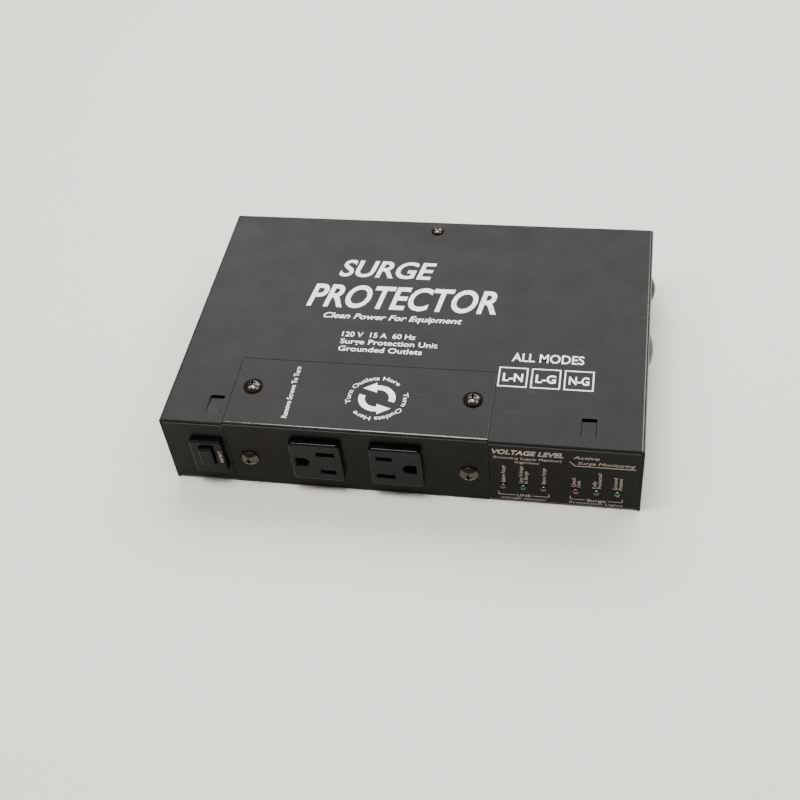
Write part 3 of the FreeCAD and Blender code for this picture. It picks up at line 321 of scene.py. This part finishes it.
def easedCopy(node, name, width, segments, edge=None):
    # a merged copy of a CAD node with its edges broken, as a deburred or moulded edge is
    copy = bpy.data.objects.new(name, cadNodes[node].data.copy())
    bpy.context.scene.collection.objects.link(copy)
    shell = bmesh.new()
    shell.from_mesh(copy.data)
    bmesh.ops.remove_doubles(shell, verts=shell.verts, dist=0.001 * mm)
    bmesh.ops.dissolve_limit(shell, angle_limit=math.radians(0.4), verts=shell.verts, edges=shell.edges)
    for face in shell.faces:
        face.smooth = True
        if edge and max(abs(share) for share in face.normal) < easing["squareFace"]:
            face.material_index = 1  # a fold, given the edge coat: rubbed wear plus a painted highlight in its paler colour
    shell.to_mesh(copy.data)
    shell.free()
    bevel = copy.modifiers.new("easedEdges", "BEVEL")
    bevel.width, bevel.segments = width, segments
    bevel.limit_method, bevel.angle_limit = "ANGLE", math.radians(easing["sharpAngle"])
    if edge:
        copy.data.materials.append(edge)
        bevel.material = 1
    flats = copy.modifiers.new("flatFacesFirst", "WEIGHTED_NORMAL")
    flats.weight, flats.keep_sharp = easing["flatWeight"], False
    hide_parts(node)
    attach(copy, bodyOf[node])
    return copy


easing = {
    "sharpAngle": 32, "flatWeight": 100, "squareFace": 0.99,
    "sheet": {"top_cover": ("topCover", 0.26), "base_chassis": ("baseChassis", 0.16),
              "outlet_plate": ("outletPlate", 0.2), "plate_brackets": ("plateBrackets", 0.14)},
    "moulded": {"outlet_left_face": ("outletLeftFace", 0.22), "outlet_right_face": ("outletRightFace", 0.22),
                "breaker_housing": ("breakerHousing", 0.2), "breaker_button": ("breakerButton", 0.18),
                "inlet_body": ("inletBody", 0.25), "blanking_plugs": ("blankingPlugs", 0.2),
                "plate_screws": ("plateScrews", 0.12), "cover_screw": ("coverScrew", 0.1)},
}
for node, (name, width) in easing["sheet"].items():
    easedCopy(node, name, width * mm, 2, edgeWearAndHighlight)
print("sheet shells eased")
for node, (name, width) in easing["moulded"].items():
    easedCopy(node, name, width * mm, 3)
print("moulded faces and screws eased")


# printing on the case: thin solid ink

inkThickness = 0.04 * mm
capShare = 0.729  # height of a capital in the built-in font, per unit of size


def letters(words, height, width=None, weight=0.0, align="CENTER", slant=0.0):
    # flat lettering in the XY plane, centred on the origin, as a bmesh
    curve = bpy.data.curves.new("lettering", "FONT")
    curve.body, curve.size, curve.align_x, curve.shear = words, height / capShare, align, slant
    curve.extrude, curve.offset, curve.resolution_u = inkThickness / 2, weight, 4
    holder = bpy.data.objects.new("lettering", curve)
    bpy.context.scene.collection.objects.link(holder)
    mesh = bpy.data.meshes.new_from_object(holder.evaluated_get(bpy.context.evaluated_depsgraph_get()))
    bpy.data.objects.remove(holder)
    shape = bmesh.new()
    shape.from_mesh(mesh)
    bpy.data.meshes.remove(mesh)
    low = min(v.co.x for v in shape.verts)
    high = max(v.co.x for v in shape.verts)
    stretch = width / (high - low) if width else 1.0
    middle = {"CENTER": (low + high) / 2, "LEFT": low}[align]
    bmesh.ops.translate(shape, verts=shape.verts, vec=(-middle, -height / 2, inkThickness / 2))
    bmesh.ops.scale(shape, verts=shape.verts, vec=(stretch, 1, 1))
    return shape


def bar(width, height, x=0.0, y=0.0):
    shape = bmesh.new()
    bmesh.ops.create_cube(shape, size=1.0)
    bmesh.ops.scale(shape, verts=shape.verts, vec=(width, height, inkThickness))
    bmesh.ops.translate(shape, verts=shape.verts, vec=(x, y, inkThickness / 2))
    return shape


def turnFlat(degrees):
    return Matrix.Rotation(math.radians(degrees), 3, "Z")


def band(inner, outer, start, sweep, steps):
    # part of a flat ring, spun from a short radial edge; angles in degrees from +X
    shape = bmesh.new()
    ends = [shape.verts.new((r, 0, 0)) for r in (inner, outer)]
    edge = shape.edges.new(ends)
    bmesh.ops.spin(shape, geom=[*ends, edge], cent=(0, 0, 0), axis=(0, 0, 1), dvec=(0, 0, 0),
                   angle=math.radians(sweep), steps=steps, use_merge=sweep == 360)
    bmesh.ops.rotate(shape, verts=shape.verts, cent=(0, 0, 0), matrix=turnFlat(start))
    return thicken(shape)


def thicken(shape):
    bmesh.ops.recalc_face_normals(shape, faces=shape.faces)
    grown = bmesh.ops.extrude_face_region(shape, geom=shape.faces[:])
    moved = [item for item in grown["geom"] if isinstance(item, bmesh.types.BMVert)]
    bmesh.ops.translate(shape, verts=moved, vec=(0, 0, inkThickness))
    bmesh.ops.recalc_face_normals(shape, faces=shape.faces)
    return shape


def wedge(points):
    shape = bmesh.new()
    shape.faces.new([shape.verts.new((x, y, 0)) for x, y in points])
    return thicken(shape)


def bendRound(shape, radius):
    # wraps lettering round a circle about the origin, reading clockwise over the top
    for vert in shape.verts:
        angle = vert.co.x / radius
        reach = radius + vert.co.y
        vert.co = Vector((reach * math.sin(angle), reach * math.cos(angle), vert.co.z))
    return shape


topFace = Matrix.Translation((0, 0, lidTop))
upright = Matrix.Rotation(math.radians(90), 4, "X")
frontFace = Matrix.Translation((0, panelFront, 0)) @ upright


def printOn(name, face, marks, ink):
    # joins the marks, each with its place on the face and its turn in degrees, into one inked piece
    sheet = bpy.data.meshes.new(name)
    whole = bmesh.new()
    for shape, (x, y), turn in marks:
        place = face @ Matrix.Translation((x, y, 0)) @ Matrix.Rotation(math.radians(turn), 4, "Z")
        bmesh.ops.transform(shape, matrix=place, verts=shape.verts)
        shape.to_mesh(sheet)
        shape.free()
        whole.from_mesh(sheet)
    whole.to_mesh(sheet)
    whole.free()
    piece = bpy.data.objects.new(name, sheet)
    bpy.context.scene.collection.objects.link(piece)
    sheet.materials.append(ink)
    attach(piece, "enclosure")
    return piece


# each line of print: words, height, width, place of its middle, weight and slant; millimetres on the face
lidPrint = {
    "lines": (("SURGE", 13.0, 50.5, (-21.8, 36.8), 0.35, 0.2),
              ("PROTECTOR", 17.0, 98.0, (-10.6, 15.4), 0.5, 0.2),
              ("Clean Power For Equipment", 3.9, 71.0, (-13.4, 0.5), 0.08, 0.25),
              ("120 V  15 A  60 Hz", 3.5, 37.2, (-18.0, -12.5), 0.06, 0.0),
              ("Surge Protection Unit", 3.5, 49.0, (-12.1, -17.5), 0.06, 0.0),
              ("Grounded Outlets", 3.5, 42.0, (-15.6, -22.6), 0.06, 0.0),
              ("ALL MODES", 5.8, 34.5, (66.8, -22.1), 0.1, 0.0)),
    "modes": {"words": ("L-N", "L-G", "N-G"), "middle": (66.8, -35.6), "pitch": 15.6, "size": (14.0, 12.8),
              "line": 0.7, "height": 5.2, "width": 9.6, "weight": 0.2},
}


def printLines(lines):
    for words, height, width, (x, y), weight, slant in lines:
        yield letters(words, height * mm, width * mm, weight * mm, slant=slant), (x * mm, y * mm), 0


def lidMarks():
    yield from printLines(lidPrint["lines"])
    modes = lidPrint["modes"]
    width, height = (side * mm for side in modes["size"])
    line = modes["line"] * mm
    for step, words in zip((-1, 0, 1), modes["words"]):
        x, y = (modes["middle"][0] + step * modes["pitch"]) * mm, modes["middle"][1] * mm
        yield letters(words, modes["height"] * mm, modes["width"] * mm, modes["weight"] * mm), (x, y), 0
        for side in (-1, 1):
            yield bar(width, line), (x, y + side * (height - line) / 2), 0
            yield bar(line, height - 2 * line), (x + side * (width - line) / 2, y), 0


emblem = {"middle": (-11.5, -54.5), "inner": 5.6, "outer": 8.6, "start": -14, "sweep": 112, "head": 6.4,
          "headHalf": 0.52, "steps": 20, "ringText": 12.2, "words": "Turn Outlets Here", "textHeight": 2.5,
          "textWeight": 0.03, "textTurn": 33, "ringWidth": 36.0, "stretch": (1.04, 0.97)}
plateNote = {"words": "Remove Screws To Turn", "height": 2.7, "width": 33.4, "weight": 0.03,
             "place": (-53.6, -53.8)}


def plateMarks():
    # two arrows chasing each other round a ring of words, and a note up the side
    middle = [v * mm for v in emblem["middle"]]
    inner, outer = emblem["inner"] * mm, emblem["outer"] * mm
    centreLine, tip = (inner + outer) / 2, emblem["head"] * mm
    reach = emblem["ringText"] * mm + emblem["textHeight"] * mm / 2
    headHalf = tip * emblem["headHalf"]
    start, sweep = emblem["start"], emblem["sweep"]
    for turn in (0, 180):
        head = wedge(((centreLine - headHalf, 0), (centreLine + headHalf, 0), (centreLine, tip)))
        words = letters(emblem["words"], emblem["textHeight"] * mm, emblem["ringWidth"] * mm,
                        emblem["textWeight"] * mm)
        for shape, angle in ((band(inner, outer, start, sweep, emblem["steps"]), turn),
                             (head, turn + start + sweep),
                             (bendRound(words, reach), turn + emblem["textTurn"])):
            bmesh.ops.rotate(shape, verts=shape.verts, cent=(0, 0, 0), matrix=turnFlat(angle))
            bmesh.ops.scale(shape, verts=shape.verts, vec=(*emblem["stretch"], 1))
            yield shape, middle, 0
    height, width, weight = (plateNote[key] * mm for key in ("height", "width", "weight"))
    yield letters(plateNote["words"], height, width, weight), [v * mm for v in plateNote["place"]], 90


panelPrint = {
    "lines": (("VOLTAGE LEVEL", 3.2, 32.8, (61.8, 36.8), 0.14, 0.25),
              ("(Incoming Supply Monitor)", 1.8, 31.4, (61.6, 32.8), 0.0, 0.0),
              ("high/low", 1.6, 11.2, (61.6, 30.0), 0.0, 0.0),
              ("Active", 2.1, 12.0, (88.4, 36.2), 0.0, 0.25),
              ("Surge Monitoring", 2.1, 26.0, (97.6, 32.5), 0.0, 0.25)),
    "rule": {"right": 111.0, "corner": (83.4, 29.9), "tip": (80.8, 33.1), "line": 0.45, "bend": 0.4},
    "captionHeight": 1.9, "captionBase": 14.6, "captionPitch": 2.3,
    "captions": {"low": (("Below Range", 12.2),), "normal": (("Line Voltage", 12.7), ("In Range", 9.0)),
                 "high": (("Above Range", 12.2),), "check": (("Check", 7.0), ("Unit", 5.0)),
                 "protected": (("Fully", 5.4), ("Protected", 11.2)),
                 "ground": (("Ground", 8.8), ("Present", 8.6))},
    "groups": ((("low", "high"), ("LINE", 6.6), ("voltage monitor", 21.6)),
               (("check", "ground"), ("Surge", 9.0), ("Protection Lights", 25.0))),
    "bracketTop": 7.7, "bracketBottom": 5.4, "bracketPast": (2.4, 2.6), "wordGap": 0.8, "line": 0.4,
    "groupHeight": 1.9, "groupWeight": 0.03, "lowerMiddle": 3.1, "lowerHeight": 1.5,
}


def lightMiddle(name):
    low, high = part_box("light_" + name)
    return (low.x + high.x) / 2


def panelRule():
    # a level line that ends in a short slope at its left, drawn as one bent strip
    rule = panelPrint["rule"]
    (x, y), (tipX, tipY), right, line = rule["corner"], rule["tip"], rule["right"], rule["line"]
    outline = ((right, y), (right, y + line), (x + line * rule["bend"], y + line), (tipX + line, tipY),
               (tipX, tipY), (x, y))
    return wedge([(u * mm, v * mm) for u, v in outline])


def panelMarks():
    yield from printLines(panelPrint["lines"])
    yield panelRule(), (0, 0), 0
    height, base, pitch = (panelPrint[key] * mm for key in ("captionHeight", "captionBase", "captionPitch"))
    for name, lines in panelPrint["captions"].items():
        for row, (caption, length) in enumerate(lines):
            shift = (row - (len(lines) - 1) / 2) * pitch
            yield letters(caption, height, length * mm, 0.0, "LEFT"), (lightMiddle(name) + shift, base), 90
    top, bottom, line = (panelPrint[key] * mm for key in ("bracketTop", "bracketBottom", "line"))
    before, after = panelPrint["bracketPast"]
    for (first, last), (word, width), (below, belowWidth) in panelPrint["groups"]:
        start, finish = lightMiddle(first) - before * mm, lightMiddle(last) + after * mm
        middle, gap = (start + finish) / 2, width * mm / 2 + panelPrint["wordGap"] * mm
        for side, end in ((-1, start), (1, finish)):
            reach = abs(end - middle) - gap
            yield bar(reach, line), (middle + side * (gap + reach / 2), bottom), 0
            yield bar(line, top - bottom), (end, (top + bottom) / 2), 0
        yield letters(word, panelPrint["groupHeight"] * mm, width * mm, panelPrint["groupWeight"] * mm), (
            middle, bottom), 0
        yield letters(below, panelPrint["lowerHeight"] * mm, belowWidth * mm), (
            middle, panelPrint["lowerMiddle"] * mm), 0


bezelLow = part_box("breaker_housing")[0]
buttonLow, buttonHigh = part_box("breaker_button")
bezelFace = Matrix.Translation((0, bezelLow.y, 0)) @ upright
resetWord = {"words": "RESET", "height": 1.7, "width": 8.5, "weight": 0.03, "gap": 1.86}


def bezelMarks():
    height, width, weight, gap = (resetWord[key] * mm for key in ("height", "width", "weight", "gap"))
    word = letters(resetWord["words"], height, width, weight)
    yield word, (buttonHigh.x + gap, (buttonLow.z + buttonHigh.z) / 2), 90


printOn("lidPrint", topFace, lidMarks(), lidInk)
printOn("platePrint", topFace, plateMarks(), lidInk)
printOn("panelPrint", frontFace, panelMarks(), shadedPanelInk)
printOn("bezelPrint", bezelFace, bezelMarks(), shadedPanelInk)
print("printing laid on the case")


# floor, light and camera

def plainFloor():
    floor = {"size": 3.0, "colour": "#d6d1c8", "roughness": 0.7}
    shape = bmesh.new()
    bmesh.ops.create_grid(shape, x_segments=1, y_segments=1, size=floor["size"])
    mesh = bpy.data.meshes.new("floor")
    shape.to_mesh(mesh)
    shape.free()
    obj = bpy.data.objects.new("floor", mesh)
    bpy.context.scene.collection.objects.link(obj)
    mesh.materials.append(startMaterial("paleFloor", floor["colour"], floor["roughness"])[0])


def softBox(name, place, aim, size, power, colour="#ffffff"):
    lamp = bpy.data.lights.new(name, "AREA")
    lamp.shape, lamp.size, lamp.size_y = "RECTANGLE", *size
    lamp.energy, lamp.color = power, linearColour(colour)[:3]
    obj = bpy.data.objects.new(name, lamp)
    bpy.context.scene.collection.objects.link(obj)
    obj.location = place
    obj.rotation_euler = (Vector(aim) - Vector(place)).to_track_quat("-Z", "Y").to_euler()


# each soft box: place, size and watts; one above each shoulder, and a wide one behind for the lid's sheen
studio = {"aim": (0, 0, 0.02), "boxes": {"leftBox": ((-0.75, -0.35, 1.15), (0.3, 0.3), 4),
                                         "rightBox": ((0.85, -0.25, 1.15), (0.3, 0.3), 4),
                                         "overheadBox": ((-0.1, -0.2, 1.3), (0.7, 0.3), 20),
                                         "rearBox": ((0.1, 1.0, 1.28), (2.3, 1.0), 54)},
          "room": "#e4e2de", "roomStrength": 0.3}


def softStudio():
    for name, (place, size, power) in studio["boxes"].items():
        softBox(name, place, studio["aim"], size, power)
    world = bpy.data.worlds.new("softRoom")
    bpy.context.scene.world = world
    world.use_nodes = True
    sky = world.node_tree.nodes["Background"]
    sky.inputs["Color"].default_value = linearColour(studio["room"])
    sky.inputs["Strength"].default_value = studio["roomStrength"]


view = {"lens": 54.01, "place": (0.09846, -0.42686, 0.46017), "turn": (42.516, 5.039, 9.388)}


def viewCamera():
    data = bpy.data.cameras.new("viewCamera")
    data.lens, data.sensor_width, data.clip_start = view["lens"], 36.0, 0.01
    obj = bpy.data.objects.new("viewCamera", data)
    bpy.context.scene.collection.objects.link(obj)
    obj.location = view["place"]
    obj.rotation_euler = [math.radians(angle) for angle in view["turn"]]
    bpy.context.scene.camera = obj


plainFloor()
softStudio()
viewCamera()
print("stage set")
